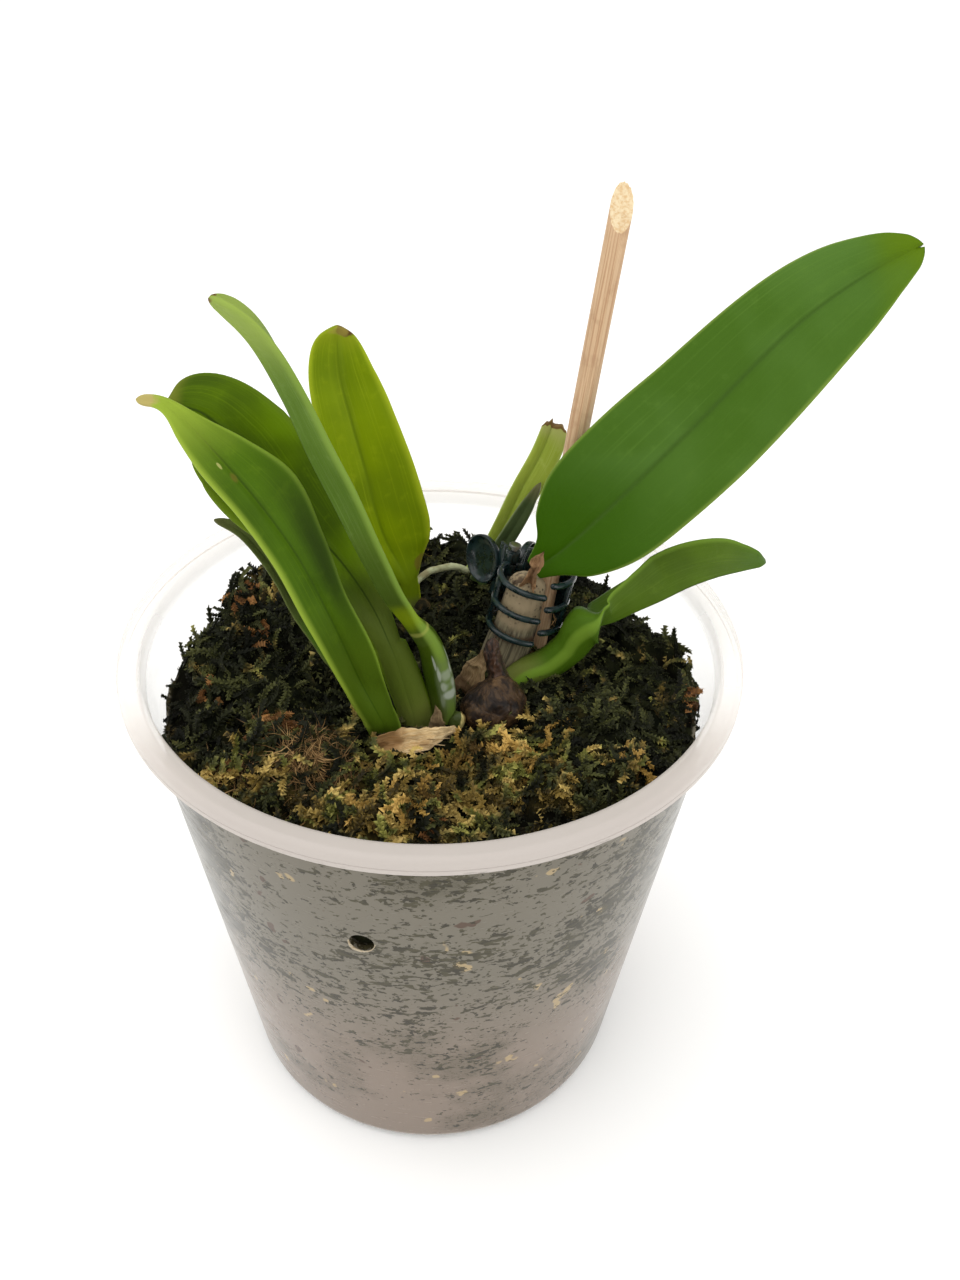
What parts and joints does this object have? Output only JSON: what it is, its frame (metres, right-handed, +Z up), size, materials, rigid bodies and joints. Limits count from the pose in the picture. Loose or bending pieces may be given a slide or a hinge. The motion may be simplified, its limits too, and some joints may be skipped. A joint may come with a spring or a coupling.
{
  "type": "potted cattleya orchid",
  "caption": "Young cattleya orchid with strap leaves, moss and a clipped bamboo stake in a clear tapered plastic pot.",
  "frame": {"origin": "centre of the pot's flat underside, on the surface that it stands on", "axes": "+Z up, the pot's axis; +X to the side that the long leaf leans to; +Y to the back, away from the clip's prongs"},
  "size_m": [0.1326, 0.1162, 0.1822],
  "materials": {
    "pot": "milky clear, glossy",
    "moss": "dark damp moss, olive and tan tufts",
    "leaf": "waxy semi-gloss leaf",
    "leaf_pale": "waxy semi-gloss leaf, lit through",
    "stem": "waxy stem",
    "cane": "dull speckled dry bark",
    "bulb": "wrinkled dark brown",
    "husk": "dry papery scale",
    "root": "matt velamen",
    "bamboo": "bare bamboo with long fibres",
    "clip": "glossy dark teal",
    "steel": "plain"
  },
  "bodies": {
    "potted_plant": {"pot": "pot", "moss": "moss", "rhizome": "root", "stem_a": "stem", "stem_b": "stem", "stem_c": "stem", "stem_d": "stem", "stem_e": "stem", "stem_h": "stem", "sheath_g": "stem", "cane": "cane", "back_bulb": "bulb", "bud": "leaf_pale", "aerial_root": "root", "husk_front": "husk", "husk_bulb": "husk", "husk_stem": "husk", "husk_cane": "husk", "leaf_a": "leaf", "leaf_b": "leaf", "leaf_c": "leaf", "leaf_d": "leaf_pale", "leaf_e": "leaf", "leaf_f": "leaf", "leaf_g": "leaf", "leaf_h": "leaf_pale", "leaf_h2": "leaf", "stake": "bamboo", "clip_jaw_right": "clip", "clip_pin": "steel"},
    "clip_left": {"clip_jaw_left": "clip"}
  },
  "joints": [
    {"name": "clip_hinge", "type": "hinge", "parent": "potted_plant", "child": "clip_left", "pos_m": [0.01482, 0.01471, 0.10816], "axis": [-0.1949, -0.09, -0.9767], "range_deg": [0, 30], "stiffness_Nm_per_rad": 0.012, "springref_deg": -14.32}
  ]
}
